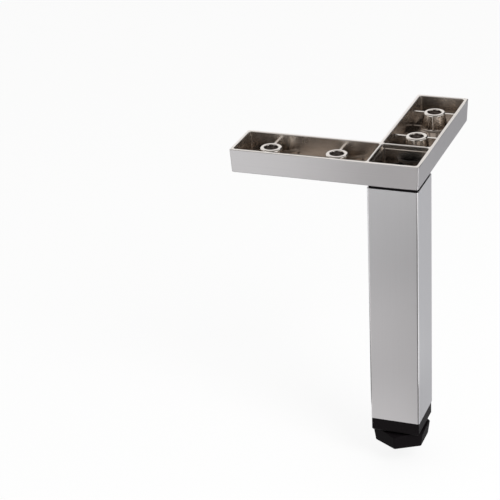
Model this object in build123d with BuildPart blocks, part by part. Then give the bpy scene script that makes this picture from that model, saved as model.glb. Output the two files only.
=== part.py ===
"""Sofa leg: a die-cast L-shaped mounting tray, bolted to a square post with a screw-adjusted foot.

Millimetres. The origin is the centre of the foot's sole, with the post's axis along +Z.
One arm of the tray reaches along -X and the other along +Y.
"""

import math
import os

from build123d import *

os.makedirs("parts", exist_ok=True)

# Post: a square tube
tube_width = 30.0
tube_wall = 1.2
tube_length = 150.0
tube_corner_radius = 1.2
tube_bore_radius = 0.4

# Mounting tray: one casting, with draft on its walls inside and out
tray_height = 14.2
tray_underside_width = 30.4
arm_reach = 96.3
tray_wall = 2.0
tray_floor = 2.0
partition_thickness = 1.4
draft_angle = 2.6
tray_corner_radius = 1.0
tray_foot_chamfer = 0.4
rim_chamfer = 0.3
pocket_corner_radius = 1.5
pocket_floor_chamfer = 0.8
ledge_depth = 2.7
ledge_width = 0.7

# Screw bosses on the arms, and the ribs that tie them to the side walls
boss_first = 36.9
boss_spacing = 40.0
boss_drop = 2.9
boss_rim_radius = 6.3
boss_bevel = 0.5
boss_draft = 11.0
boss_flare = 0.9
boss_bore_radius = 4.2
bore_chamfer = 0.4
rib_thickness = 1.5
rib_drop = 3.1
rib_flare = 0.8
foot_sink = 0.3

# Bolt, washer and nut that hold the post to the tray
bolt_radius = 4.0
bolt_length = 20.0
bolt_tip_chamfer = 0.8
bolt_head_radius = 7.0
bolt_head_height = 4.4
bolt_head_edge = 1.2
bolt_head_crown = 4.0
bolt_socket_flats = 5.0
bolt_socket_depth = 2.6
bolt_hole_clearance = 0.5
washer_radius = 8.0
washer_thickness = 1.6
washer_clearance = 0.2
top_nut_flats = 13.0
top_nut_height = 6.5
top_nut_cover = 3.0

# Plugs in the two ends of the tube
joint_gap = 1.6
flange_inset = 0.8
cap_height = 8.3
cap_inset = 0.4
cap_corner_radius = 1.0
cap_chamfer = 0.8
plug_depth = 20.0
lamella_count = 3
lamella_first = 2.5
lamella_pitch = 4.4
lamella_thickness = 1.2
lamella_depth = 0.7
plug_fit = 0.2
nut_fit = 0.1
thread_fit = 0.15

# Screw foot: a threaded stud held by its round head in a hexagon base
base_height = 9.6
base_sole_flats = 28.3
base_top_flats = 30.8
base_turn = 30.0
base_chamfer_angle = 30.0
base_sole_chamfer = 0.4
foot_gap = 1.1
stud_radius = 5.0
stud_length = 36.0
stud_tip_chamfer = 1.0
stud_head_radius = 8.0
stud_head_height = 3.6
stud_head_cover = 2.4
stud_clearance = 0.3
foot_nut_flats = 16.0
foot_nut_height = 8.4
foot_nut_recess = 0.3

# Levels above the floor, and how closely a face is looked up by its level
level_margin = 0.01
cap_underside = base_height + foot_gap
tube_bottom = cap_underside + cap_height
tube_top = tube_bottom + tube_length
tray_underside = tube_top + joint_gap
floor_level = tray_underside + tray_floor
rim_level = tray_underside + tray_height
ledge_level = rim_level - ledge_depth
boss_level = rim_level - boss_drop
rib_level = rim_level - rib_drop

# Widths that follow from the sizes above
tube_bore = tube_width - 2 * tube_wall
rim_spread = tray_height * math.tan(math.radians(draft_angle))
rim_half = tray_underside_width / 2 + rim_spread
pocket_half = rim_half - tray_wall
rim_reach = arm_reach + rim_spread
bolt_hole_radius = bolt_radius + bolt_hole_clearance

# Each arm has a plane of its own, with x along the arm and z up
arms = [
    Plane(origin=(0, 0, 0), x_dir=(-1, 0, 0), z_dir=(0, 0, 1)),
    Plane(origin=(0, 0, 0), x_dir=(0, 1, 0), z_dir=(0, 0, 1)),
]
boss_distances = [boss_first, boss_first + boss_spacing]


def make_boss(arm, distance):
    """One boss: a drafted cone with a bevelled rim and a foot that flares into the floor."""
    root = floor_level - foot_sink
    foot_radius = boss_rim_radius + (boss_level - root) * math.tan(math.radians(boss_draft))
    section = Plane(origin=arm.from_local_coords((distance, 0, 0)), x_dir=arm.x_dir, z_dir=-arm.y_dir)
    with BuildPart() as boss:
        with BuildSketch(section):
            with BuildLine():
                Polyline(
                    (0, root),
                    (foot_radius + boss_flare, root),
                    (foot_radius, root + boss_flare),
                    (boss_rim_radius, boss_level - boss_bevel),
                    (boss_rim_radius - boss_bevel, boss_level),
                    (0, boss_level),
                    close=True,
                )
            make_face()
        revolve(axis=Axis(section.origin, (0, 0, 1)))
    return boss.part


def make_rib(arm, distance):
    """One cross rib from side wall to side wall: straight at the top and flared at the floor."""
    root = floor_level - foot_sink
    half = rib_thickness / 2
    section = Plane(origin=arm.from_local_coords((distance, 0, 0)), x_dir=arm.x_dir, z_dir=-arm.y_dir)
    with BuildPart() as rib:
        with BuildSketch(section):
            with BuildLine():
                Polyline(
                    (-half - rib_flare, root),
                    (half + rib_flare, root),
                    (half, root + rib_flare),
                    (half, rib_level),
                    (-half, rib_level),
                    (-half, root + rib_flare),
                    close=True,
                )
            make_face()
        extrude(amount=pocket_half + tray_wall / 2, both=True)
    return rib.part


def make_plug(mouth):
    """The part of a plug inside the tube: a square core with gripping lamellae round it.

    The plane's origin is the centre of the tube's mouth, with z pointing into the tube.
    """
    grip_width = tube_bore - 2 * plug_fit
    core_width = grip_width - 2 * lamella_depth
    with BuildPart() as plug:
        with BuildSketch(mouth):
            Rectangle(core_width, core_width)
        extrude(amount=plug_depth)
        for step in range(lamella_count):
            with BuildSketch(mouth.offset(lamella_first + step * lamella_pitch)):
                Rectangle(grip_width, grip_width)
            extrude(amount=lamella_thickness)
    return plug.part


def make_nut(flats, height, bore_radius, seat):
    """A plain hexagon nut standing on the seat plane."""
    with BuildPart() as nut:
        with BuildSketch(seat):
            RegularPolygon(flats / 2, 6, major_radius=False)
            Circle(bore_radius, mode=Mode.SUBTRACT)
        extrude(amount=height)
    return nut.part


# Mounting tray
bosses = [make_boss(arm, distance) for arm in arms for distance in boss_distances]
ribs = [make_rib(arm, distance) for arm in arms for distance in boss_distances]
with BuildPart() as mounting_bracket:
    # Outer form: an L that widens from its underside to the rim
    with BuildSketch(Plane.XY.offset(tray_underside)):
        half = tray_underside_width / 2
        with BuildLine():
            Polyline(
                (half, -half),
                (half, arm_reach),
                (-half, arm_reach),
                (-half, half),
                (-arm_reach, half),
                (-arm_reach, -half),
                close=True,
            )
        make_face()
    extrude(amount=tray_height, taper=-draft_angle)
    fillet(mounting_bracket.edges().filter_by(Plane.XY, reverse=True), tray_corner_radius)
    chamfer(mounting_bracket.faces().sort_by(Axis.Z)[0].edges(), tray_foot_chamfer)
    # Corner pocket, with a ledge below the rim
    with BuildSketch(Plane.XY.offset(rim_level)):
        RectangleRounded(2 * pocket_half, 2 * pocket_half, pocket_corner_radius)
    extrude(amount=-ledge_depth, taper=draft_angle, mode=Mode.SUBTRACT)
    with BuildSketch(Plane.XY.offset(ledge_level)):
        sunk_width = 2 * (pocket_half - ledge_width)
        RectangleRounded(sunk_width, sunk_width, pocket_corner_radius)
    extrude(amount=floor_level - ledge_level, taper=draft_angle, mode=Mode.SUBTRACT)
    # Arm pockets, each from the partition to the end wall
    pocket_start = pocket_half + partition_thickness
    pocket_end = rim_reach - tray_wall
    for arm in arms:
        with BuildSketch(arm.offset(rim_level)):
            with Locations(((pocket_start + pocket_end) / 2, 0)):
                RectangleRounded(pocket_end - pocket_start, 2 * pocket_half, pocket_corner_radius)
        extrude(amount=floor_level - rim_level, taper=draft_angle, mode=Mode.SUBTRACT)
    floors = mounting_bracket.faces().filter_by(Plane.XY).filter_by_position(
        Axis.Z, floor_level - level_margin, floor_level + level_margin
    )
    chamfer(floors.edges(), pocket_floor_chamfer)
    chamfer(mounting_bracket.faces().sort_by(Axis.Z)[-1].edges(), rim_chamfer)
    add(ribs)
    add(bosses)
    # Screw holes through the bosses, and the bolt's hole in the corner pocket
    for arm in arms:
        with BuildSketch(arm.offset(tray_underside)):
            with Locations(*[(distance, 0) for distance in boss_distances]):
                Circle(boss_bore_radius)
        extrude(amount=tray_height, mode=Mode.SUBTRACT)
    with BuildSketch(Plane.XY.offset(tray_underside)):
        Circle(bolt_hole_radius)
    extrude(amount=tray_height, mode=Mode.SUBTRACT)
    rims = mounting_bracket.edges().filter_by(GeomType.CIRCLE).filter_by_position(
        Axis.Z, boss_level - level_margin, boss_level + level_margin
    )
    chamfer(rims.group_by(SortBy.RADIUS)[0], bore_chamfer)

# Bolt with a domed head and a hexagon socket, its head on the washer
washer_level = floor_level + washer_thickness
with BuildPart() as bracket_bolt:
    with BuildSketch(Plane.XZ):
        tip_level = washer_level - bolt_length
        crown_level = washer_level + bolt_head_height
        with BuildLine():
            Polyline(
                (0, tip_level),
                (bolt_radius - bolt_tip_chamfer, tip_level),
                (bolt_radius, tip_level + bolt_tip_chamfer),
                (bolt_radius, washer_level),
                (bolt_head_radius, washer_level),
                (bolt_head_radius, washer_level + bolt_head_edge),
                (bolt_head_crown, crown_level),
                (0, crown_level),
                close=True,
            )
        make_face()
    revolve(axis=Axis.Z)
    with BuildSketch(Plane.XY.offset(crown_level)):
        RegularPolygon(bolt_socket_flats / 2, 6, major_radius=False)
    extrude(amount=-bolt_socket_depth, mode=Mode.SUBTRACT)

with BuildPart() as bolt_washer:
    with BuildSketch(Plane.XY.offset(floor_level)):
        Circle(washer_radius)
        Circle(bolt_radius + washer_clearance, mode=Mode.SUBTRACT)
    extrude(amount=washer_thickness)

# Plug in the top of the tube: its flange is the joint line under the tray
top_plug = make_plug(Plane(origin=(0, 0, tube_top), x_dir=(1, 0, 0), z_dir=(0, 0, -1)))
top_nut_level = tube_top - top_nut_cover - top_nut_height
with BuildPart() as top_insert:
    add(top_plug)
    with BuildSketch(Plane.XY.offset(tube_top)):
        flange_width = tube_width - 2 * flange_inset
        RectangleRounded(flange_width, flange_width, cap_corner_radius)
    extrude(amount=joint_gap)
    with BuildSketch(Plane.XY.offset(tube_top - plug_depth)):
        RegularPolygon(top_nut_flats / 2 + nut_fit, 6, major_radius=False)
    extrude(amount=plug_depth - top_nut_cover, mode=Mode.SUBTRACT)
    with BuildSketch(Plane.XY.offset(tray_underside)):
        Circle(bolt_hole_radius)
    extrude(amount=-plug_depth, mode=Mode.SUBTRACT)

top_insert_nut = make_nut(
    top_nut_flats, top_nut_height, bolt_radius + thread_fit, Plane.XY.offset(top_nut_level)
)

with BuildPart() as post_tube:
    with BuildSketch(Plane.XY.offset(tube_bottom)):
        RectangleRounded(tube_width, tube_width, tube_corner_radius)
        RectangleRounded(tube_bore, tube_bore, tube_bore_radius, mode=Mode.SUBTRACT)
    extrude(amount=tube_length)

# Plug in the foot of the tube, with a thick cap below it and the nut let in from underneath
foot_plug = make_plug(Plane.XY.offset(tube_bottom))
foot_nut_level = cap_underside + foot_nut_recess
with BuildPart() as foot_insert:
    with BuildSketch(Plane.XY.offset(cap_underside)):
        cap_width = tube_width - 2 * cap_inset
        RectangleRounded(cap_width, cap_width, cap_corner_radius)
    extrude(amount=cap_height)
    chamfer(foot_insert.faces().sort_by(Axis.Z)[0].edges(), cap_chamfer)
    add(foot_plug)
    with BuildSketch(Plane.XY.offset(cap_underside)):
        RegularPolygon(foot_nut_flats / 2 + nut_fit, 6, major_radius=False)
    extrude(amount=foot_nut_recess + foot_nut_height, mode=Mode.SUBTRACT)
    with BuildSketch(Plane.XY.offset(cap_underside)):
        Circle(stud_radius + stud_clearance)
    extrude(amount=cap_height + plug_depth, mode=Mode.SUBTRACT)

foot_insert_nut = make_nut(
    foot_nut_flats, foot_nut_height, stud_radius + thread_fit, Plane.XY.offset(foot_nut_level)
)

# Threaded stud, drawn at its outer diameter
stud_head_level = base_height - stud_head_cover - stud_clearance - stud_head_height
with BuildPart() as foot_stud:
    with BuildSketch(Plane.XY.offset(stud_head_level)):
        Circle(stud_head_radius)
    extrude(amount=stud_head_height)
    with BuildSketch(Plane.XY.offset(stud_head_level)):
        Circle(stud_radius)
    extrude(amount=stud_length)
    chamfer(foot_stud.faces().sort_by(Axis.Z)[-1].edges(), stud_tip_chamfer)

# Hexagon base: it widens upwards, with one corner to the front and its top corners cut back to a cone
with BuildPart() as foot_base:
    with BuildSketch():
        RegularPolygon(base_sole_flats / 2, 6, major_radius=False, rotation=base_turn)
    extrude(amount=base_height)
    base_draft = math.degrees(math.atan((base_top_flats - base_sole_flats) / 2 / base_height))
    draft(foot_base.faces().filter_by(Axis.Z, reverse=True), Plane.XY, -base_draft)
    chamfer(foot_base.faces().sort_by(Axis.Z)[0].edges(), base_sole_chamfer)
    with BuildSketch(Plane.XZ):
        rim = base_top_flats / 2
        corner = rim / math.cos(math.radians(30))
        with BuildLine():
            Polyline(
                (0, 0),
                (corner, 0),
                (corner, base_height - (corner - rim) * math.tan(math.radians(base_chamfer_angle))),
                (rim, base_height),
                (0, base_height),
                close=True,
            )
        make_face()
    revolve(axis=Axis.Z, mode=Mode.INTERSECT)
    with BuildSketch(Plane.XY.offset(stud_head_level - stud_clearance)):
        Circle(stud_head_radius + stud_clearance)
    extrude(amount=stud_head_height + 2 * stud_clearance, mode=Mode.SUBTRACT)
    with BuildSketch(Plane.XY.offset(base_height)):
        Circle(stud_radius + stud_clearance)
    extrude(amount=-stud_head_cover, mode=Mode.SUBTRACT)

pieces = {
    "mounting_bracket": mounting_bracket.part,
    "bracket_bolt": bracket_bolt.part,
    "bolt_washer": bolt_washer.part,
    "top_insert": top_insert.part,
    "top_insert_nut": top_insert_nut,
    "post_tube": post_tube.part,
    "foot_insert": foot_insert.part,
    "foot_insert_nut": foot_insert_nut,
    "foot_stud": foot_stud.part,
    "foot_base": foot_base.part,
}
for name, piece in pieces.items():
    piece.label = name
    export_step(piece, f"parts/{name}.step")
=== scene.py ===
"""Looks of a sofa leg: a satin nickel tray and post on a black screw-adjusted foot, in a plain pale studio.

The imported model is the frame. The tray, the tube plugs and the nuts keep their solids and get their finishes
here, and the tray's screw bosses get a finer skin. The post, the bolt, its washer, the threaded stud and the
hexagon base are replaced by finer surfaces of the same size. Lengths in the classes are millimetres and angles
are degrees. Every mesh is written in metres.
"""

import logging
import math
from dataclasses import dataclass
from enum import Enum
from typing import Any

import bpy
import numpy as np
from mathutils import Matrix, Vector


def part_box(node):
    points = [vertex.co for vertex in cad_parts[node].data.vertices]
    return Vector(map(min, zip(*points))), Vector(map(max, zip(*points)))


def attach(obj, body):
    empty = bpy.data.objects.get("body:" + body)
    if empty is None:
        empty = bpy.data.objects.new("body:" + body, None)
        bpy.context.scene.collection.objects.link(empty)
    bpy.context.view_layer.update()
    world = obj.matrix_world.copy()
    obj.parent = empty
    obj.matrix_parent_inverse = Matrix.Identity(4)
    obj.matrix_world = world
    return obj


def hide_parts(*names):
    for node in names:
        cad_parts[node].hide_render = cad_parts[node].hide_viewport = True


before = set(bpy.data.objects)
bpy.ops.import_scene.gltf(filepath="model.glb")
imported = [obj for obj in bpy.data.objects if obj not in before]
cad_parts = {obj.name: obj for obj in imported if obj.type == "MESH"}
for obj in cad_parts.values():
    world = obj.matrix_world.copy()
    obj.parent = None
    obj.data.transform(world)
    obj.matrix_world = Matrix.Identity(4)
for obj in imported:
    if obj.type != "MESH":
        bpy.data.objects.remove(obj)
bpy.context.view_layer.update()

Tree = bpy.types.NodeTree
Socket = bpy.types.NodeSocket
Material = bpy.types.Material
Point = tuple[float, float, float]
MM = 0.001
log = logging.getLogger("sofa_leg")


class Body(Enum):
    """The bodies that pieces ride on."""

    LEG = "leg"
    STUD = "stud"
    FOOT = "foot"


class Slot(Enum):
    """The record's material slots."""

    CASTING = "nickel_casting"
    TUBE = "nickel_tube"
    STEEL = "zinc_plated_steel"
    OXIDE = "black_oxide_steel"
    NYLON = "black_nylon"


def linear(hex_colour: str) -> tuple[float, float, float, float]:
    """Turns an sRGB hex colour into linear light.

    Args:
        hex_colour: Six hex digits after a hash sign.

    Returns:
        Red, green, blue and alpha, each from 0 to 1.
    """
    coded = np.array([int(hex_colour[i:i + 2], 16) for i in (1, 3, 5)]) / 255
    light = np.where(coded <= 0.04045, coded / 12.92, ((coded + 0.055) / 1.055) ** 2.4)
    return (*light.tolist(), 1.0)


def add_node(tree: Tree, kind: str, inputs: dict[Any, Any] | None = None, **settings: Any) -> Any:
    """Adds a node with its settings, values and links.

    Args:
        tree: The node tree that gets the node.
        kind: The node's type name.
        inputs: Values or output sockets by input name or number.
        settings: Attributes of the node.

    Returns:
        The new node's outputs.
    """
    node = tree.nodes.new(kind)
    for name, value in settings.items():
        setattr(node, name, value)
    for name, value in (inputs or {}).items():
        if isinstance(value, Socket):
            tree.links.new(value, node.inputs[name])
        else:
            node.inputs[name].default_value = value
    return node.outputs


def empty_tree(owner: Material | bpy.types.World) -> Tree:
    """Gives a material or a world an empty node tree.

    Args:
        owner: The material or the world.

    Returns:
        Its node tree.
    """
    owner.use_nodes = True
    owner.node_tree.nodes.clear()
    return owner.node_tree


def add_object(name: str, data: bpy.types.ID) -> bpy.types.Object:
    """Puts a mesh, a lamp or a camera into the scene.

    Args:
        name: The object's name.
        data: What the object holds.

    Returns:
        The new object.
    """
    thing = bpy.data.objects.new(name, data)
    bpy.context.scene.collection.objects.link(thing)
    return thing


# Surfaces

def skin(grid: np.ndarray, wrap_rows: bool) -> tuple[np.ndarray, list[list[int]]]:
    """Turns a grid of points that closes round its columns into a closed skin.

    Each row is a closed loop, and each pair of rows is joined by quads. The rows either close into a ring, or
    the first and the last one end in a pole at their mean point, with a fan of triangles.

    Args:
        grid: Points, as rows by columns by 3.
        wrap_rows: True where the last row joins the first.

    Returns:
        The points, and the faces as lists of point numbers.
    """
    rows, columns = grid.shape[:2]
    index = np.arange(rows * columns).reshape(rows, columns)
    low = index if wrap_rows else index[:-1]
    high = np.roll(index, -1, axis=0) if wrap_rows else index[1:]
    quads = np.stack([low, np.roll(low, -1, axis=1), np.roll(high, -1, axis=1), high], axis=-1)
    points = grid.reshape(-1, 3)
    faces = quads.reshape(-1, 4).tolist()
    if not wrap_rows:
        poles = np.stack([grid[0].mean(axis=0), grid[-1].mean(axis=0)])
        first, last = len(points), len(points) + 1
        points = np.concatenate([points, poles])
        around = np.roll(index, -1, axis=1)
        opening = np.stack([np.full(columns, first), around[0], index[0]], axis=-1)
        closing = np.stack([np.full(columns, last), index[-1], around[-1]], axis=-1)
        faces += np.concatenate([opening, closing]).tolist()
    return points, faces


def weighted_normals(mesh: bpy.types.Mesh) -> np.ndarray:
    """Works out point normals as the mean of the faces around a point, weighted by their area.

    A large flat face then stays flat up to the small rounding beside it.

    Args:
        mesh: A mesh with its faces in place.

    Returns:
        Unit normals, one for each point.
    """
    areas = np.zeros(len(mesh.polygons))
    mesh.polygons.foreach_get("area", areas)
    normals = np.zeros(len(mesh.polygons) * 3)
    mesh.polygons.foreach_get("normal", normals)
    counts = np.zeros(len(mesh.polygons), dtype=int)
    mesh.polygons.foreach_get("loop_total", counts)
    corners = np.zeros(len(mesh.loops), dtype=int)
    mesh.loops.foreach_get("vertex_index", corners)
    shares = np.repeat(normals.reshape(-1, 3) * areas[:, None], counts, axis=0)
    total = np.zeros((len(mesh.vertices), 3))
    np.add.at(total, corners, shares)
    return total / np.linalg.norm(total, axis=1, keepdims=True)


def make_piece(
    name: str, grid: np.ndarray, wrap_rows: bool, finish: Material, node: str | None, body: Body
) -> None:
    """Makes a piece from a grid of points, and puts it in a CAD node's place where one is named.

    Args:
        name: The piece's name.
        grid: Points in millimetres, as rows by columns by 3.
        wrap_rows: True where the last row joins the first.
        finish: The piece's material.
        node: The CAD node that the piece replaces, or none.
        body: The body that it rides on.
    """
    points, faces = skin(grid, wrap_rows)
    mesh = bpy.data.meshes.new(name)
    mesh.from_pydata((points * MM).tolist(), [], faces)
    mesh.polygons.foreach_set("use_smooth", np.ones(len(mesh.polygons), dtype=bool))
    mesh.normals_split_custom_set_from_vertices(weighted_normals(mesh).tolist())
    mesh.materials.append(finish)
    piece = add_object(name, mesh)
    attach(piece, body.value)
    if node:
        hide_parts(node)
    log.info("%s: %d faces on %s", name, len(faces), body.value)


def dress(node: str, finish: Material) -> None:
    """Gives a CAD node its finish.

    Args:
        node: The node's name.
        finish: The material for all of its faces.
    """
    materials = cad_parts[node].data.materials
    materials.clear()
    materials.append(finish)
    log.info("%s: dressed in %s", node, finish.name)


def turned(radius: np.ndarray, height: np.ndarray, angles: np.ndarray) -> np.ndarray:
    """Carries a profile round the Z axis.

    The point at angle a of a row is (radius cos a, radius sin a, height).

    Args:
        radius: Radii as rows by 1, or as rows by columns where the section isn't round.
        height: Heights as rows by 1.
        angles: The columns' angles.

    Returns:
        Points as rows by columns by 3.
    """
    rows = np.broadcast_shapes(radius.shape, height.shape)[0]
    shape = (rows, len(angles))
    radius = np.broadcast_to(radius, shape)
    height = np.broadcast_to(height, shape)
    return np.stack([radius * np.cos(angles), radius * np.sin(angles), height], axis=-1)


def round_angles(count: int) -> np.ndarray:
    """Gives evenly spaced angles once round, without the last."""
    return np.linspace(0, 2 * np.pi, count, endpoint=False)


def hexagon(angles: np.ndarray, flats: float, turn: float, sharpness: float) -> np.ndarray:
    """Works out the polar radius of a hexagon with softly rounded corners.

    Each flat is the line where the cosine to its normal times the radius is half the width across flats. The
    radius is the p-norm of the six cosines, turned over, so a higher p gives a sharper corner.

    Args:
        angles: The angles in radians.
        flats: The width across flats.
        turn: The angle of the first flat's normal, in radians.
        sharpness: The power p.

    Returns:
        The radius at each angle.
    """
    normals = turn + np.arange(6)[:, None] * np.pi / 3
    cosines = np.clip(np.cos(angles[None, :] - normals), 0, None)
    return flats / 2 * np.sum(cosines ** sharpness, axis=0) ** (-1 / sharpness)


def rounded(corners: np.ndarray, radii: np.ndarray, steps: int, closed: bool) -> np.ndarray:
    """Rounds the corners of a profile with arcs.

    Each corner becomes an arc that touches both of its sides, sampled at equal turns. Where the sides turn by
    the angle t, the arc starts radius times tan(t / 2) before the corner. A radius of zero leaves a point.

    Args:
        corners: Corner points as n by 2.
        radii: One radius for each corner.
        steps: Points on each arc.
        closed: True where the last corner joins the first. An open profile keeps its two end points.

    Returns:
        The rounded profile as m by 2.
    """
    before = np.roll(corners, 1, axis=0) - corners
    after = np.roll(corners, -1, axis=0) - corners
    before /= np.linalg.norm(before, axis=1, keepdims=True)
    after /= np.linalg.norm(after, axis=1, keepdims=True)
    cosine = np.clip(np.sum(before * after, axis=1), -1, 1)
    half = np.arccos(cosine) / 2
    setback = radii / np.tan(half)
    start = corners + before * setback[:, None]
    end = corners + after * setback[:, None]
    middle = corners + (before + after) * (setback / (1 + cosine))[:, None]
    sweep = np.pi - 2 * half
    share = np.linspace(0, 1, steps)[None, :, None]
    angle = sweep[:, None, None]
    first = start - middle
    last = end - middle
    weight = np.sin(angle)
    arc = (np.sin((1 - share) * angle) * first[:, None] + np.sin(share * angle) * last[:, None]) / weight
    points = middle[:, None] + arc
    keep = np.ones(points.shape[:2], dtype=bool)
    keep[radii == 0, 1:] = False
    points = np.where((radii == 0)[:, None, None], corners[:, None], points)
    if not closed:
        points[[0, -1]] = corners[[0, -1]][:, None]
        keep[[0, -1], 1:] = False
    return points[keep]


# A thread's triangle wave is steepened and cut off, which leaves a seventh of the pitch flat at crest and root.
FLANK_STEEPNESS = 1.4
CREST_CUT = 0.2


def thread_rows(low: float, high: float, pitch: float, per_turn: int) -> np.ndarray:
    """Gives the heights of a thread's rows, evenly spaced from low to high."""
    return np.linspace(low, high, max(2, round((high - low) / pitch * per_turn)) + 1)


def thread_radius(
    heights: np.ndarray, angles: np.ndarray, outer: float, depth: float, pitch: float, tip: float, end: float
) -> np.ndarray:
    """Works out the radius of a right-hand thread.

    The radius falls from the outer size by the depth along a triangle wave of the phase, which is the height
    over the pitch less the angle over a full turn. The crest and the root are cut flat. Near the tip the outer
    size is held inside a cone, and near the end the groove runs out.

    Args:
        heights: The rows' heights.
        angles: The columns' angles.
        outer: The outer radius.
        depth: The groove's depth.
        pitch: The rise in one turn.
        tip: The height of the tapered end.
        end: The height where the thread has run out.

    Returns:
        Radii as rows by columns.
    """
    phase = heights[:, None] / pitch - angles[None, :] / (2 * np.pi)
    wave = np.abs(2 * (phase % 1) - 1)
    groove = np.clip(wave * FLANK_STEEPNESS - CREST_CUT, 0, 1)
    run_out = np.clip(np.abs(end - heights) / pitch, 0, 1)[:, None]
    cone = outer - depth + np.abs(heights - tip)[:, None]
    return np.minimum(outer - depth * groove * run_out, cone)


# Finishes

class Finish:
    """A material made of nodes on Object coordinates.

    In the fields of a finish, detail is the number of finer layers in a pattern's noise, and stretch is how
    much more brush lines blur reflections across them than along them.
    """

    name: str

    def build(self) -> Material:
        """Makes the material.

        Returns:
            The material, with its shader linked to the output.
        """
        material = bpy.data.materials.new(self.name)
        tree = empty_tree(material)
        place = add_node(tree, "ShaderNodeTexCoord")["Object"]
        add_node(tree, "ShaderNodeOutputMaterial", {"Surface": self.shade(tree, place)})
        return material

    def shade(self, tree: Tree, place: Socket) -> Socket:
        """Adds the finish's own nodes and returns its shader."""
        raise NotImplementedError


def even_range(middle: float, spread: float) -> dict[str, float]:
    """Gives the output limits of a range that spreads evenly about a middle."""
    return {"To Min": middle - spread / 2, "To Max": middle + spread / 2}


def corner_wear_and_highlight(tree: Tree, starts: float = 0.1, full: float = 0.4) -> Socket:
    """Marks upright corners, where the normal turns from one wall to the next, for wear and a painted
    highlight.

    The mark rises with the product of the normal's X and Y parts, which is zero on every flat wall and one half
    in the middle of a corner.

    Args:
        tree: The material's node tree.
        starts: The product at which the mark starts.
        full: The product at which it is full.

    Returns:
        A socket from 0 on the walls to 1 on the corners.
    """
    normal = add_node(tree, "ShaderNodeNewGeometry")["Normal"]
    parts = add_node(tree, "ShaderNodeSeparateXYZ", {0: normal})
    product = add_node(tree, "ShaderNodeMath", {0: parts[0], 1: parts[1]}, operation="MULTIPLY")[0]
    size = add_node(tree, "ShaderNodeMath", {0: product}, operation="ABSOLUTE")[0]
    return add_node(tree, "ShaderNodeMapRange", {"Value": size, "From Min": starts, "From Max": full})[0]


@dataclass(frozen=True)
class BrushedNickelTube(Finish):
    """Steel tube, brushed lengthwise and nickel plated: a soft grey with fine grain along the post.

    The lines blur reflections across the post. The corners are smoothed by wear, so they reflect more sharply,
    and their lighter colour is a painted highlight. Real brush lines are about 0.05 mm apart, and are drawn
    wider so that they show in the picture.
    """

    name: str = "brushed_nickel_plated_steel"
    dark: str = "#D0D0D2"
    light: str = "#DADADC"
    # The corners' lighter colour is a painted highlight.
    corner: str = "#F4F4F6"
    roughness: float = 0.36
    roughness_spread: float = 0.06
    corner_roughness: float = 0.16
    line_mm: float = 0.4
    line_length_mm: float = 60.0
    line_depth_mm: float = 0.0015
    line_detail: float = 2.0
    cloud_mm: float = 40.0
    cloud_detail: float = 1.0
    cloud_share: float = 0.5
    stretch: float = 0.75

    def shade(self, tree: Tree, place: Socket) -> Socket:
        """Adds brush lines along Z, a broad cloud of tone and worn corners.

        Args:
            tree: The material's node tree.
            place: The Object coordinates.

        Returns:
            The shader's socket.
        """
        squeeze = (1, 1, self.line_mm / self.line_length_mm)
        along = add_node(tree, "ShaderNodeVectorMath", {0: place, 1: squeeze}, operation="MULTIPLY")[0]
        lines = add_node(
            tree, "ShaderNodeTexNoise",
            {"Vector": along, "Scale": 1 / (self.line_mm * MM), "Detail": self.line_detail},
        )["Fac"]
        cloud = add_node(
            tree, "ShaderNodeTexNoise",
            {"Vector": place, "Scale": 1 / (self.cloud_mm * MM), "Detail": self.cloud_detail},
        )["Fac"]
        tone = add_node(tree, "ShaderNodeMix", {0: self.cloud_share, 2: lines, 3: cloud})[0]
        colour = add_node(
            tree, "ShaderNodeMix", {0: tone, 6: linear(self.dark), 7: linear(self.light)}, data_type="RGBA"
        )[2]
        # Corners are painted lighter, a painted highlight, and are smoother from wear.
        wear_and_highlight = corner_wear_and_highlight(tree)
        colour = add_node(
            tree, "ShaderNodeMix", {0: wear_and_highlight, 6: colour, 7: linear(self.corner)}, data_type="RGBA"
        )[2]
        rough = add_node(
            tree, "ShaderNodeMapRange", {"Value": lines, **even_range(self.roughness, self.roughness_spread)}
        )[0]
        rough = add_node(tree, "ShaderNodeMix", {0: wear_and_highlight, 2: rough, 3: self.corner_roughness})[0]
        bump = add_node(
            tree, "ShaderNodeBump", {"Height": lines, "Distance": self.line_depth_mm * MM, "Strength": 1.0}
        )[0]
        # Reflections are blurred most along the tangent, which lies across the lines.
        normal = add_node(tree, "ShaderNodeNewGeometry")["Normal"]
        across = add_node(tree, "ShaderNodeVectorMath", {0: normal, 1: (0, 0, 1)}, operation="CROSS_PRODUCT")[0]
        return add_node(
            tree, "ShaderNodeBsdfPrincipled",
            {"Base Color": colour, "Metallic": 1.0, "Roughness": rough, "Normal": bump,
             "Anisotropic": self.stretch, "Tangent": across},
        )[0]


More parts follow.
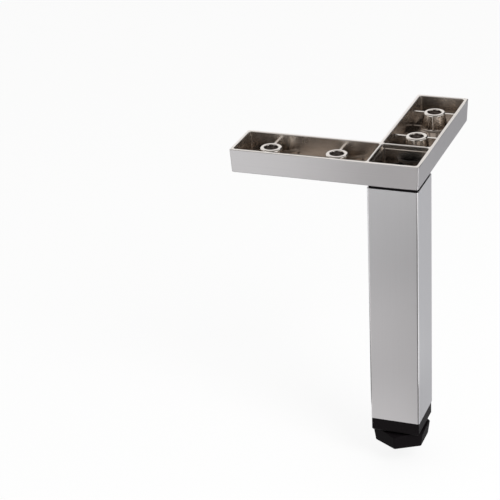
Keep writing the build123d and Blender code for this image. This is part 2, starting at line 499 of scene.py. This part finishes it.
@dataclass(frozen=True)
class NickelCasting(Finish):
    """Nickel plated zinc die casting: brushed outside, as cast inside, with a painted highlight on the rim.

    The brushed walls are a soft warm grey, and their lines blur reflections up and down. The pockets keep the
    skin of the die, which is browner, glossy near the floor and duller towards the rim. They are painted darker
    near the floor and lighter towards the rim, a painted shade.
    The rim's roughness stands for grinding, and its lighter colour is a painted highlight. Real brush lines are
    about 0.05 mm apart, and are drawn wider so that they show in the picture.
    """

    pocket_boxes: tuple[tuple[Point, Point], ...]
    floor_level: float
    top_level: float
    rim_level: float
    name: str = "brushed_nickel_plated_zinc_casting"
    dark: str = "#C8C6C7"
    light: str = "#D0CECF"
    # The corners' colour, a little lighter as a painted highlight.
    corner: str = "#D2D0D1"
    # The pockets' colour at the floor: darker, a painted shade.
    cast_deep_shade: str = "#C0B7AF"
    cast_dark: str = "#D6CFC8"
    cast_light: str = "#E2DCD6"
    # The rim's colour: a painted highlight on its upward faces.
    rim_highlight: str = "#F4EFEA"
    roughness: float = 0.36
    roughness_spread: float = 0.06
    deep_roughness: float = 0.09
    upper_roughness: float = 0.27
    cast_roughness_spread: float = 0.03
    ground_roughness: float = 0.4
    line_mm: float = 0.4
    line_length_mm: float = 60.0
    line_depth_mm: float = 0.001
    line_detail: float = 2.0
    patch_mm: float = 6.0
    patch_detail: float = 4.0
    patch_contrast: float = 0.6
    skin_mm: float = 1.2
    skin_depth_mm: float = 0.002
    skin_detail: float = 2.0
    rim_margin: float = 0.6
    rim_starts: float = 0.55
    rim_full: float = 0.85
    stretch: float = 0.75

    def inside(self, tree: Tree, place: Socket) -> Socket:
        """Marks the pockets.

        A point is in a box where its distance to the box's centre, less half the box's size, is below zero on
        every axis.

        Args:
            tree: The material's node tree.
            place: The Object coordinates.

        Returns:
            A socket that is 1 in the pockets and 0 elsewhere.
        """
        marks = []
        for low, high in self.pocket_boxes:
            low, high = np.array(low) * MM, np.array(high) * MM
            middle, half = tuple((low + high) / 2), tuple((high - low) / 2)
            offset = add_node(tree, "ShaderNodeVectorMath", {0: place, 1: middle}, operation="SUBTRACT")[0]
            size = add_node(tree, "ShaderNodeVectorMath", {0: offset}, operation="ABSOLUTE")[0]
            beyond = add_node(tree, "ShaderNodeVectorMath", {0: size, 1: half}, operation="SUBTRACT")[0]
            parts = add_node(tree, "ShaderNodeSeparateXYZ", {0: beyond})
            widest = add_node(tree, "ShaderNodeMath", {0: parts[0], 1: parts[1]}, operation="MAXIMUM")[0]
            widest = add_node(tree, "ShaderNodeMath", {0: widest, 1: parts[2]}, operation="MAXIMUM")[0]
            marks.append(add_node(tree, "ShaderNodeMath", {0: widest, 1: 0.0}, operation="LESS_THAN")[0])
        return add_node(tree, "ShaderNodeMath", {0: marks[0], 1: marks[1]}, operation="MAXIMUM")[0]

    def rim(self, tree: Tree, place: Socket) -> Socket:
        """Marks the rim's upward faces, which get a painted highlight.

        The mark rises with the upright part of the face's normal, and only near the rim's level.

        Args:
            tree: The material's node tree.
            place: The Object coordinates.

        Returns:
            A socket that is 1 on the rim and 0 elsewhere.
        """
        normal = add_node(tree, "ShaderNodeNewGeometry")["True Normal"]
        up = add_node(tree, "ShaderNodeSeparateXYZ", {0: normal})[2]
        level = add_node(tree, "ShaderNodeSeparateXYZ", {0: place})[2]
        facing = add_node(
            tree, "ShaderNodeMapRange", {"Value": up, "From Min": self.rim_starts, "From Max": self.rim_full}
        )[0]
        lowest = (self.rim_level - self.rim_margin) * MM
        high = add_node(tree, "ShaderNodeMath", {0: level, 1: lowest}, operation="GREATER_THAN")[0]
        return add_node(tree, "ShaderNodeMath", {0: facing, 1: high}, operation="MULTIPLY")[0]

    def shade(self, tree: Tree, place: Socket) -> Socket:
        """Adds the brushed walls, the cast pockets with their painted shade and the rim with its painted
        highlight.

        Args:
            tree: The material's node tree.
            place: The Object coordinates.

        Returns:
            The shader's socket.
        """
        inside = self.inside(tree, place)
        rim = self.rim(tree, place)
        level_stretch = self.line_mm / self.line_length_mm
        along = add_node(
            tree, "ShaderNodeVectorMath", {0: place, 1: (level_stretch, level_stretch, 1)}, operation="MULTIPLY"
        )[0]
        lines = add_node(
            tree, "ShaderNodeTexNoise",
            {"Vector": along, "Scale": 1 / (self.line_mm * MM), "Detail": self.line_detail},
        )["Fac"]
        patches = add_node(
            tree, "ShaderNodeTexNoise",
            {"Vector": place, "Scale": 1 / (self.patch_mm * MM), "Detail": self.patch_detail,
             "Roughness": self.patch_contrast},
        )["Fac"]
        grain = add_node(
            tree, "ShaderNodeTexNoise",
            {"Vector": place, "Scale": 1 / (self.skin_mm * MM), "Detail": self.skin_detail},
        )["Fac"]
        brushed = add_node(
            tree, "ShaderNodeMix", {0: lines, 6: linear(self.dark), 7: linear(self.light)}, data_type="RGBA"
        )[2]
        # Corners are painted a little lighter, a painted highlight.
        brushed = add_node(
            tree, "ShaderNodeMix", {0: corner_wear_and_highlight(tree), 6: brushed, 7: linear(self.corner)}, data_type="RGBA"
        )[2]
        cast = add_node(
            tree, "ShaderNodeMix", {0: patches, 6: linear(self.cast_dark), 7: linear(self.cast_light)},
            data_type="RGBA",
        )[2]
        level = add_node(tree, "ShaderNodeSeparateXYZ", {0: place})[2]
        rise = add_node(
            tree, "ShaderNodeMapRange",
            {"Value": level, "From Min": self.floor_level * MM, "From Max": self.top_level * MM},
            interpolation_type="SMOOTHSTEP",
        )[0]
        # Darker towards the pocket floor: a painted shade.
        cast = add_node(
            tree, "ShaderNodeMix", {0: rise, 6: linear(self.cast_deep_shade), 7: cast}, data_type="RGBA"
        )[2]
        colour = add_node(tree, "ShaderNodeMix", {0: inside, 6: brushed, 7: cast}, data_type="RGBA")[2]
        # The rim's upward faces are painted lighter, a painted highlight.
        colour = add_node(
            tree, "ShaderNodeMix", {0: rim, 6: colour, 7: linear(self.rim_highlight)}, data_type="RGBA"
        )[2]
        brushed_rough = add_node(
            tree, "ShaderNodeMapRange", {"Value": lines, **even_range(self.roughness, self.roughness_spread)}
        )[0]
        cast_rough = add_node(
            tree, "ShaderNodeMapRange",
            {"Value": rise, "To Min": self.deep_roughness, "To Max": self.upper_roughness},
        )[0]
        uneven = add_node(
            tree, "ShaderNodeMapRange", {"Value": patches, **even_range(0.0, self.cast_roughness_spread)}
        )[0]
        cast_rough = add_node(tree, "ShaderNodeMath", {0: cast_rough, 1: uneven}, operation="ADD")[0]
        rough = add_node(tree, "ShaderNodeMix", {0: inside, 2: brushed_rough, 3: cast_rough})[0]
        rough = add_node(tree, "ShaderNodeMix", {0: rim, 2: rough, 3: self.ground_roughness})[0]
        height = add_node(tree, "ShaderNodeMix", {0: inside, 2: lines, 3: grain})[0]
        depth = add_node(
            tree, "ShaderNodeMix", {0: inside, 2: self.line_depth_mm * MM, 3: self.skin_depth_mm * MM}
        )[0]
        bump = add_node(tree, "ShaderNodeBump", {"Height": height, "Distance": depth, "Strength": 1.0})[0]
        # Reflections are blurred most along the tangent, which lies across the lines. The pockets and the rim
        # have no lines.
        upright = add_node(tree, "ShaderNodeCombineXYZ", {2: 1.0})[0]
        plain = add_node(tree, "ShaderNodeMath", {0: inside, 1: rim}, operation="MAXIMUM")[0]
        stretch = add_node(tree, "ShaderNodeMix", {0: plain, 2: self.stretch, 3: 0.0})[0]
        return add_node(
            tree, "ShaderNodeBsdfPrincipled",
            {"Base Color": colour, "Metallic": 1.0, "Roughness": rough, "Normal": bump,
             "Anisotropic": stretch, "Tangent": upright},
        )[0]


@dataclass(frozen=True)
class MouldedNylon(Finish):
    """Black nylon from a spark-eroded mould: matt, with a fine grain and soft broad changes of shine."""

    name: str = "moulded_black_nylon"
    dark: str = "#0C090B"
    light: str = "#141113"
    shine: float = 0.045
    roughness: float = 0.48
    roughness_spread: float = 0.16
    ior: float = 1.53
    grain_mm: float = 0.35
    grain_depth_mm: float = 0.012
    grain_detail: float = 2.0
    cloud_mm: float = 5.0
    cloud_detail: float = 2.0
    cloud_share: float = 0.5

    def shade(self, tree: Tree, place: Socket) -> Socket:
        """Adds the mould's grain and a cloud of tone and shine.

        Args:
            tree: The material's node tree.
            place: The Object coordinates.

        Returns:
            The shader's socket.
        """
        grain = add_node(
            tree, "ShaderNodeTexNoise",
            {"Vector": place, "Scale": 1 / (self.grain_mm * MM), "Detail": self.grain_detail},
        )["Fac"]
        cloud = add_node(
            tree, "ShaderNodeTexNoise",
            {"Vector": place, "Scale": 1 / (self.cloud_mm * MM), "Detail": self.cloud_detail},
        )["Fac"]
        tone = add_node(tree, "ShaderNodeMix", {0: self.cloud_share, 2: grain, 3: cloud})[0]
        colour = add_node(
            tree, "ShaderNodeMix", {0: tone, 6: linear(self.dark), 7: linear(self.light)}, data_type="RGBA"
        )[2]
        rough = add_node(
            tree, "ShaderNodeMapRange", {"Value": cloud, **even_range(self.roughness, self.roughness_spread)}
        )[0]
        bump = add_node(
            tree, "ShaderNodeBump", {"Height": grain, "Distance": self.grain_depth_mm * MM, "Strength": 1.0}
        )[0]
        return add_node(
            tree, "ShaderNodeBsdfPrincipled",
            {"Base Color": colour, "Roughness": rough, "IOR": self.ior, "Specular IOR Level": self.shine,
             "Normal": bump},
        )[0]


@dataclass(frozen=True)
class CloudedMetal(Finish):
    """Plated, blackened or bare metal: cloudy changes of tone and shine."""

    name: str
    dark: str
    light: str
    roughness: float = 0.3
    roughness_spread: float = 0.16
    cloud_mm: float = 3.0
    cloud_detail: float = 4.0

    def shade(self, tree: Tree, place: Socket) -> Socket:
        """Adds the clouds.

        Args:
            tree: The material's node tree.
            place: The Object coordinates.

        Returns:
            The shader's socket.
        """
        cloud = add_node(
            tree, "ShaderNodeTexNoise",
            {"Vector": place, "Scale": 1 / (self.cloud_mm * MM), "Detail": self.cloud_detail},
        )["Fac"]
        colour = add_node(
            tree, "ShaderNodeMix", {0: cloud, 6: linear(self.dark), 7: linear(self.light)}, data_type="RGBA"
        )[2]
        rough = add_node(
            tree, "ShaderNodeMapRange", {"Value": cloud, **even_range(self.roughness, self.roughness_spread)}
        )[0]
        return add_node(
            tree, "ShaderNodeBsdfPrincipled", {"Base Color": colour, "Metallic": 1.0, "Roughness": rough}
        )[0]


# Bright zinc plate on steel gives a light, slightly blue grey.
ZINC_PLATE = CloudedMetal("bright_zinc_plated_steel", "#8E9196", "#B4B7BA")
# Black oxide on steel, oiled, is nearly black and has a dull shine.
BLACK_OXIDE = CloudedMetal("oiled_black_oxide_steel", "#1E1D1D", "#2C2B2B", roughness=0.38)
# The bores' metal is darker and browner than the plate, a painted shade inside the holes, and duller.
SHADED_BORE_METAL = CloudedMetal("painted_shade_bore_metal", "#7A706A", "#8C827C", roughness=0.4)
# The plugs' nylon has a faint shine, and the base's, from a coarser mould, has less.
PLUG_NYLON = MouldedNylon()
BASE_NYLON = MouldedNylon("matt_moulded_black_nylon", shine=0.03, roughness=0.62)


# Sub-assemblies

def box_mm(node: str) -> tuple[np.ndarray, np.ndarray]:
    """Gives a CAD node's lowest and highest corners in millimetres."""
    low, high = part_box(node)
    return np.array(low) / MM, np.array(high) / MM


@dataclass
class MountingTray:
    """The die-cast tray, which keeps its solid, with a finer skin on each of its four screw bosses.

    The pockets are told from the outside at the middle of the outer walls and just above the underside. A
    boss's skin lies skin_rise above the pocket's floor, so that the floor doesn't show through it, and closes
    boss_sink below that.
    """

    wall_middle: float = 1.4
    sole_skin: float = 0.6
    floor_thickness: float = 2.0
    # The painted shade in the pockets fades out this far below the rim.
    shade_fade_below_rim: float = 3.6
    boss_first: float = 36.9
    boss_spacing: float = 40.0
    boss_drop: float = 2.9
    boss_rim_radius: float = 6.5
    boss_root_radius: float = 8.36
    boss_bore: float = 4.05
    boss_edge: float = 1.1
    boss_bore_edge: float = 0.55
    boss_crown: float = 0.2
    boss_roughness: float = 0.1
    boss_fillet: float = 1.2
    boss_sink: float = 0.5
    skin_rise: float = 0.04
    columns: int = 96
    edge_steps: int = 7

    def build(self) -> None:
        """Dresses the tray, with its pockets found from its box and the post's axis, and makes the bosses."""
        low, high = box_mm("mounting_bracket")
        side = high[0] - self.wall_middle
        reach = high[1] - self.wall_middle
        bottom, top = low[2] + self.sole_skin, high[2] + self.sole_skin
        left = ((-reach, -side, bottom), (side, side, top))
        back = ((-side, -side, bottom), (side, reach, top))
        floor = low[2] + self.floor_thickness
        levels = (floor, high[2] - self.shade_fade_below_rim, high[2])
        dress("mounting_bracket", NickelCasting((left, back), *levels).build())
        polished = NickelCasting(
            (left, back), *levels, "polished_nickel_plated_zinc_casting", upper_roughness=self.boss_roughness
        ).build()
        boss_top = high[2] - self.boss_drop + self.boss_crown
        # The bores get a darker metal, a painted shade inside the holes.
        self.build_bosses(bottom, floor + self.skin_rise, boss_top, polished, SHADED_BORE_METAL.build())

    def build_bosses(self, lowest: float, floor: float, top: float, finish: Material, bore_shade: Material) -> None:
        """Turns a boss's section and its bore's wall round each screw hole.

        The section runs from a fillet on the floor up the drafted side, over a rounded rim and into the bore,
        and closes inside the solid boss. The bore's wall goes on below it.

        Args:
            lowest: The level of the bore's lower end.
            floor: The skin's level on the pocket's floor.
            top: The skin's level on the boss's top.
            finish: The tray's material, polished all the way up.
            bore_shade: The bores' material, darker than the plate as a painted shade inside the holes.
        """
        foot = self.boss_root_radius + 2 * self.boss_fillet
        corners = np.array(
            [[foot, floor], [self.boss_root_radius, floor], [self.boss_rim_radius, top], [self.boss_bore, top],
             [self.boss_bore, top - 2 * self.boss_edge], [self.boss_rim_radius, floor - self.boss_sink],
             [foot, floor - self.boss_sink]]
        )
        radii = np.array([0, self.boss_fillet, self.boss_edge, self.boss_bore_edge, 0, 0, 0])
        section = rounded(corners, radii, self.edge_steps, True)
        angles = round_angles(self.columns)
        ring = turned(section[:, :1], section[:, 1:], angles)
        wall = np.array(
            [[self.boss_bore, lowest], [self.boss_bore, top - self.boss_edge],
             [self.boss_rim_radius, top - 2 * self.boss_edge], [self.boss_rim_radius, lowest]]
        )
        bore = turned(wall[::-1, :1], wall[::-1, 1:], angles)
        for order in range(2):
            reach = self.boss_first + order * self.boss_spacing
            for arm, place in (("left", np.array([-reach, 0, 0])), ("back", np.array([0, reach, 0]))):
                name = f"{arm}_boss_{order + 1}"
                make_piece(name, ring[::-1] + place, True, finish, None, Body.LEG)
                # The bore's wall is painted darker, a painted shade.
                make_piece(f"{name}_bore", bore[::-1] + place, True, bore_shade, None, Body.LEG)


@dataclass
class SquarePost:
    """The square tube, with the small rounding that a saw cut gets when it is deburred and plated."""

    wall: float = 1.2
    corner_radius: float = 1.2
    bore_radius: float = 0.4
    end_radius: float = 0.25
    corner_steps: int = 9
    end_steps: int = 5

    def build(self) -> None:
        """Carries the wall's section round the square.

        A section point at the depth d below the outer face runs on a square whose half width and corner radius
        shrink with d.
        """
        low, high = box_mm("post_tube")
        half = high[0]
        corners = np.array([[0, low[2]], [0, high[2]], [self.wall, high[2]], [self.wall, low[2]]])
        section = rounded(corners, np.full(4, self.end_radius), self.end_steps, True)[::-1]
        depth, height = section[:, :1], section[:, 1:]
        radius = self.corner_radius + (self.bore_radius - self.corner_radius) * depth / self.wall
        quarter = np.linspace(0, np.pi / 2, self.corner_steps)
        angles = (quarter[None, :] + np.arange(4)[:, None] * np.pi / 2).reshape(-1)
        sign_x = np.repeat([1, -1, -1, 1], self.corner_steps)
        sign_y = np.repeat([1, 1, -1, -1], self.corner_steps)
        middle = half - depth - radius
        grid = np.stack(
            [
                sign_x * middle + radius * np.cos(angles),
                sign_y * middle + radius * np.sin(angles),
                np.broadcast_to(height, (len(section), len(angles))),
            ],
            axis=-1,
        )
        make_piece("square_post", grid, True, BrushedNickelTube().build(), "post_tube", Body.LEG)


@dataclass
class TrayFixing:
    """The bolt and washer that hold the post to the tray."""

    shank_radius: float = 4.0
    thread_depth: float = 0.6
    pitch: float = 1.25
    head_edge: float = 1.0
    head_seat_rounding: float = 0.15
    head_side_rounding: float = 1.5
    crown_radius: float = 3.6
    crown_rounding: float = 2.0
    socket_flats: float = 5.0
    socket_mouth: float = 0.62
    socket_chamfer: float = 0.15
    socket_depth: float = 2.6
    socket_sharpness: float = 60.0
    washer_bore: float = 4.2
    washer_edge: float = 0.2
    columns: int = 72
    rows_per_turn: int = 10
    head_steps: int = 6
    washer_steps: int = 4

    def build(self, bolt_finish: Material, washer_finish: Material) -> None:
        """Turns the washer's section and the bolt's profile round the post's axis.

        The bolt's profile is a threaded shank, a domed head and a hexagon socket, whose mouth is a ring that is
        socket_mouth times as wide in radius as the hexagon is across flats.

        Args:
            bolt_finish: The bolt's black steel.
            washer_finish: The washer's plated steel.
        """
        angles = round_angles(self.columns)
        low, high = box_mm("bolt_washer")
        corners = np.array(
            [[self.washer_bore, low[2]], [high[0], low[2]], [high[0], high[2]], [self.washer_bore, high[2]]]
        )
        ring = rounded(corners, np.full(4, self.washer_edge), self.washer_steps, True)
        washer = turned(ring[:, :1], ring[:, 1:], angles)
        make_piece("plain_washer", washer, True, washer_finish, "bolt_washer", Body.LEG)
        seat = high[2]
        low, high = box_mm("bracket_bolt")
        tip, crown, head = low[2], high[2], high[0]
        shank = thread_rows(tip, seat, self.pitch, self.rows_per_turn)
        shank_radius = thread_radius(shank, angles, self.shank_radius, self.thread_depth, self.pitch, tip, seat)
        dome = rounded(
            np.array([[self.shank_radius, seat], [head, seat], [head, seat + self.head_edge],
                      [self.crown_radius, crown], [self.socket_flats * self.socket_mouth, crown]]),
            np.array([0, self.head_seat_rounding, self.head_side_rounding, self.crown_rounding, 0]),
            self.head_steps, False,
        )[1:]
        socket = hexagon(angles, self.socket_flats, 0.0, self.socket_sharpness)[None, :]
        bottom = crown - self.socket_depth
        dome_radius = np.broadcast_to(dome[:, :1], (len(dome), len(angles)))
        radius = np.concatenate([shank_radius, dome_radius, socket, socket])
        height = np.concatenate([shank, dome[:, 1], [crown - self.socket_chamfer, bottom]])[:, None]
        bolt = turned(radius, height, angles)
        make_piece("socket_bolt", bolt, False, bolt_finish, "bracket_bolt", Body.LEG)


@dataclass
class ScrewFoot:
    """The threaded stud and the hexagon base that it carries."""

    stud_radius: float = 5.0
    stud_head_height: float = 3.6
    stud_head_rounding: float = 0.3
    thread_depth: float = 0.9
    pitch: float = 1.5
    sole_flats: float = 28.3
    top_flats: float = 30.8
    chamfer_angle: float = 30.0
    sole_radius: float = 0.5
    sole_margin: float = 1.0
    sole_middle: float = 2.0
    corner_sharpness: float = 70.0
    hole_radius: float = 5.3
    hole_chamfer: float = 0.3
    cavity_radius: float = 8.3
    head_clearance: float = 0.3
    pole_radius: float = 0.5
    blend: float = 0.12
    row_crowding: float = 1.5
    columns: int = 72
    base_columns: int = 360
    side_rows: int = 48
    rows_per_turn: int = 12
    head_steps: int = 4

    def build(self, steel: Material, nylon: Material) -> None:
        """Makes the stud and the base.

        Args:
            steel: The stud's finish.
            nylon: The base's finish.
        """
        self.build_stud(steel)
        self.build_base(nylon)

    def build_stud(self, finish: Material) -> None:
        """Carries a thread's profile up the stud from its round head.

        Args:
            finish: The stud's material.
        """
        angles = round_angles(self.columns)
        low, high = box_mm("foot_stud")
        shoulder = low[2] + self.stud_head_height
        head = rounded(
            np.array([[self.pole_radius, low[2]], [high[0], low[2]], [high[0], shoulder],
                      [self.stud_radius, shoulder]]),
            np.array([0, self.stud_head_rounding, self.stud_head_rounding, 0]), self.head_steps, False,
        )
        shank = thread_rows(shoulder, high[2], self.pitch, self.rows_per_turn)
        radius = thread_radius(
            shank, angles, self.stud_radius, self.thread_depth, self.pitch, high[2], shoulder
        )
        radius = np.concatenate([np.broadcast_to(head[:, :1], (len(head), len(angles))), radius[1:]])
        height = np.concatenate([head[:, 1], shank[1:]])[:, None]
        stud = turned(radius, height, angles)
        make_piece("threaded_stud", stud, False, finish, "foot_stud", Body.STUD)

    def build_base(self, finish: Material) -> None:
        """Carries a hexagon up from the sole, with its top corners cut back to a cone.

        Below the rim the radius is the smaller of the hexagon's, which widens with the height, and the cone's.
        The two meet in a small rounding, by a smooth minimum. The rows crowd towards the top, where the cone
        is. The rest is round: the top, the stud's hole and the cavity of its head.

        Args:
            finish: The base's material.
        """
        angles = round_angles(self.base_columns)
        low, high = box_mm("foot_base")
        top = high[2]
        head = box_mm("foot_stud")[0][2]
        cavity_bottom = head - self.head_clearance
        cavity_top = head + self.stud_head_height + self.head_clearance
        rise = np.linspace(0, 1, self.side_rows)
        heights = low[2] + (top - low[2]) * (1 - (1 - rise) ** self.row_crowding)
        flats = self.sole_flats + (self.top_flats - self.sole_flats) * (heights - low[2]) / (top - low[2])
        shape = hexagon(angles, 1.0, 0.0, self.corner_sharpness)
        side = flats[:, None] * shape[None, :]
        cone = self.top_flats / 2 + (top - heights)[:, None] / math.tan(math.radians(self.chamfer_angle))
        gap = (cone - side) / self.blend
        side = side - self.blend * np.logaddexp(0, -gap)
        sole_drop = np.clip(self.sole_radius - (heights - low[2]), 0, None)[:, None]
        side = side - self.sole_radius + np.sqrt(self.sole_radius ** 2 - sole_drop ** 2)
        sole_edge = self.sole_flats - 2 * self.sole_radius - self.sole_margin
        sole = shape[None, :] * np.array([self.sole_middle, sole_edge])[:, None]
        inner = np.array(
            [[self.hole_radius + self.hole_chamfer, top], [self.hole_radius, top - self.hole_chamfer],
             [self.hole_radius, cavity_top], [self.cavity_radius, cavity_top],
             [self.cavity_radius, cavity_bottom], [self.pole_radius, cavity_bottom]]
        )
        inner_radius = np.broadcast_to(inner[:, :1], (len(inner), len(angles)))
        radius = np.concatenate([sole, side, inner_radius])
        height = np.concatenate([[low[2], low[2]], heights, inner[:, 1]])[:, None]
        base = turned(radius, height, angles)
        make_piece("hexagon_base", base, False, finish, "foot_base", Body.FOOT)


# Studio

def stand(thing: bpy.types.Object, place: Point, right: np.ndarray, up: np.ndarray, back: np.ndarray) -> None:
    """Puts a lamp or the camera in its place, looking away from its back.

    Args:
        thing: The lamp or the camera.
        place: Its place in millimetres.
        right: The direction of its own X axis.
        up: The direction of its own Y axis.
        back: The direction of its own Z axis.
    """
    world = np.eye(4)
    world[:3, :3] = np.column_stack([right, up, back])
    world[:3, 3] = np.array(place) * MM
    thing.matrix_world = Matrix(world.tolist())


@dataclass(frozen=True)
class SoftLamp:
    """A square soft lamp."""

    name: str
    place: Point
    aim: Point
    width: float
    watts: float
    reflected: bool

    def build(self) -> None:
        """Makes the lamp, turned to its aim and hidden from the camera."""
        data = bpy.data.lights.new(self.name, "AREA")
        data.size = self.width * MM
        data.energy = self.watts
        lamp = add_object(self.name, data)
        back = np.array(self.place) - np.array(self.aim)
        back = back / np.linalg.norm(back)
        right = np.cross([0, 0, 1], back)
        right /= np.linalg.norm(right)
        stand(lamp, self.place, right, np.cross(back, right), back)
        lamp.visible_camera = False
        lamp.visible_glossy = self.reflected


@dataclass(frozen=True)
class Card:
    """A flat grey card that only reflections see, which gives the metal something to show besides white."""

    name: str
    middle: Point
    half_width: Point
    half_height: Point
    tone: str

    def build(self) -> None:
        """Makes the card from its middle and its two half sides."""
        material = bpy.data.materials.new(self.name)
        tree = empty_tree(material)
        light = add_node(tree, "ShaderNodeEmission", {"Color": linear(self.tone)})[0]
        add_node(tree, "ShaderNodeOutputMaterial", {"Surface": light})
        sides = np.array([[-1, -1], [1, -1], [1, 1], [-1, 1]])
        corners = np.array(self.middle) + sides @ np.array([self.half_width, self.half_height])
        mesh = bpy.data.meshes.new(self.name)
        mesh.from_pydata((corners * MM).tolist(), [], [[0, 1, 2, 3]])
        mesh.materials.append(material)
        card = add_object(self.name, mesh)
        card.visible_camera = False
        card.visible_diffuse = False
        card.visible_transmission = False
        card.visible_shadow = False


@dataclass(frozen=True)
class PhotoCamera:
    """The camera at the photograph's viewing angle, solved from the leg's corners in the picture."""

    azimuth: float = 21.764
    elevation: float = 25.194
    roll: float = -2.936
    place: Point = (256.3, -875.85, 557.61)
    focal_pixels: float = 1739.07
    frame_pixels: float = 500.0
    sensor: float = 36.0

    def build(self) -> None:
        """Makes the camera from its three turns and sets it as the scene's own."""
        data = bpy.data.cameras.new("photo_camera")
        data.sensor_width = self.sensor
        data.lens = self.focal_pixels / self.frame_pixels * self.sensor
        camera = add_object("photo_camera", data)
        turn, rise, roll = (math.radians(angle) for angle in (self.azimuth, self.elevation, self.roll))
        level = np.array([math.cos(turn), math.sin(turn), 0])
        back = np.array([math.sin(turn) * math.cos(rise), -math.cos(turn) * math.cos(rise), math.sin(rise)])
        upright = np.cross(back, level)
        right = math.cos(roll) * level + math.sin(roll) * upright
        up = math.cos(roll) * upright - math.sin(roll) * level
        stand(camera, self.place, right, up, back)
        bpy.context.scene.camera = camera


@dataclass
class Studio:
    """A pale floor, white surroundings, soft lamps, grey cards and the camera.

    The leg stays in place when the foot is screwed out, so the floor lies just below the sole's lowest place
    and never hides the foot. The cards that stand or hang around the leg darken its pockets. Those that lie
    near the floor grade its front and right sides from light to dark, and give the post's near corner a dark
    line beside a bright one.
    """

    floor_half: float = 6000.0
    floor_level: float = -12.3
    floor_colour: str = "#F4F4F3"
    floor_glow: float = 0.85
    surround_light: float = 0.75
    lamps: tuple[SoftLamp, ...] = (
        SoftLamp("key", (700, -500, 900), (0, 0, 120), 500, 7.0, False),
        SoftLamp("right", (620, -260, 170), (0, 0, 100), 340, 1.0, True),
    )
    cards: tuple[Card, ...] = (
        Card("back_card", (560, 900, 560), (640, 0, 0), (0, 0, 420), "#2A2827"),
        Card("right_card", (1100, 400, 560), (0, 500, 0), (0, 0, 420), "#5A5856"),
        Card("front_card", (400, -800, 560), (500, 0, 0), (0, 0, 420), "#3A3836"),
        Card("left_card", (-1000, -300, 560), (0, 500, 0), (0, 0, 420), "#8A8886"),
        Card("ceiling_card", (0, 0, 1100), (800, 0, 0), (0, 800, 0), "#908E8C"),
        Card("right_near_card", (430, 200, 1), (412, 0, 0), (0, 210, 0), "#CECED0"),
        Card("right_far_card", (430, 736, 1), (412, 0, 0), (0, 326, 0), "#BABABC"),
        Card("front_floor_card", (150, -410, 1), (290, 0, 0), (0, 390, 0), "#E3E0DF"),
        Card("dark_floor_card", (158, -210, 1.5), (150, 0, 0), (14, 195, 0), "#7C7A7A"),
        Card("bright_floor_card", (250, 20, 2), (160, 0, 0), (0, 70, 0), "#FFFFFF"),
        Card("left_floor_card", (-260, -5, 1.5), (200, 0, 0), (0, 75, 0), "#808080"),
        Card("grey_floor_card", (-159, -505, 2), (28, 0, 0), (92, 275, 0), "#404040"),
    )

    def build(self) -> None:
        """Makes the floor, the surroundings, the lamps, the cards and the camera."""
        bpy.context.scene.view_settings.view_transform = "Standard"
        self.build_floor()
        self.build_surroundings()
        for lamp in self.lamps:
            lamp.build()
        for card in self.cards:
            card.build()
        PhotoCamera().build()

    @staticmethod
    def seen(tree: Tree) -> Socket:
        """Marks rays from the camera, from reflections and through glass.

        Args:
            tree: The node tree.

        Returns:
            A socket that is 1 for those rays and 0 for diffuse light.
        """
        path = add_node(tree, "ShaderNodeLightPath")
        mirror = add_node(
            tree, "ShaderNodeMath", {0: path["Is Camera Ray"], 1: path["Is Glossy Ray"]}, operation="MAXIMUM"
        )[0]
        return add_node(
            tree, "ShaderNodeMath", {0: mirror, 1: path["Is Transmission Ray"]}, operation="MAXIMUM"
        )[0]

    def build_floor(self) -> None:
        """Makes a matt white floor that looks nearly white and keeps the leg's shadow."""
        material = bpy.data.materials.new("matt_white_paper")
        tree = empty_tree(material)
        paper = add_node(tree, "ShaderNodeBsdfDiffuse", {"Color": linear(self.floor_colour)})[0]
        glow = add_node(tree, "ShaderNodeEmission")[0]
        share = add_node(
            tree, "ShaderNodeMath", {0: self.seen(tree), 1: self.floor_glow}, operation="MULTIPLY"
        )[0]
        mixed = add_node(tree, "ShaderNodeMixShader", {0: share, 1: paper, 2: glow})[0]
        add_node(tree, "ShaderNodeOutputMaterial", {"Surface": mixed})
        side = np.array([-1, 1]) * self.floor_half * MM
        x, y = np.meshgrid(side, side)
        corners = np.stack([x, y, np.full((2, 2), self.floor_level * MM)], axis=-1).reshape(-1, 3)
        mesh = bpy.data.meshes.new("floor")
        mesh.from_pydata(corners.tolist(), [], [[0, 1, 3, 2]])
        mesh.materials.append(material)
        floor = add_object("floor", mesh)

    def build_surroundings(self) -> None:
        """Makes surroundings that look white and light the leg at a plain level."""
        world = bpy.data.worlds.new("white_surroundings")
        tree = empty_tree(world)
        pure = linear("#FFFFFF")
        light = add_node(tree, "ShaderNodeBackground", {"Color": pure, "Strength": self.surround_light})[0]
        white = add_node(tree, "ShaderNodeBackground", {"Color": pure, "Strength": 1.0})[0]
        mixed = add_node(tree, "ShaderNodeMixShader", {0: self.seen(tree), 1: light, 2: white})[0]
        add_node(tree, "ShaderNodeOutputWorld", {"Surface": mixed})
        bpy.context.scene.world = world


def main() -> None:
    """Builds the leg and its studio."""
    logging.basicConfig(level=logging.INFO, format="%(name)s %(message)s")
    steel = ZINC_PLATE.build()
    nylon = PLUG_NYLON.build()
    MountingTray().build()
    SquarePost().build()
    TrayFixing().build(BLACK_OXIDE.build(), steel)
    ScrewFoot().build(steel, BASE_NYLON.build())
    for node in ("top_insert", "foot_insert"):
        dress(node, nylon)
    for node in ("top_insert_nut", "foot_insert_nut"):
        dress(node, steel)
    Studio().build()


if __name__ == "__main__":
    main()
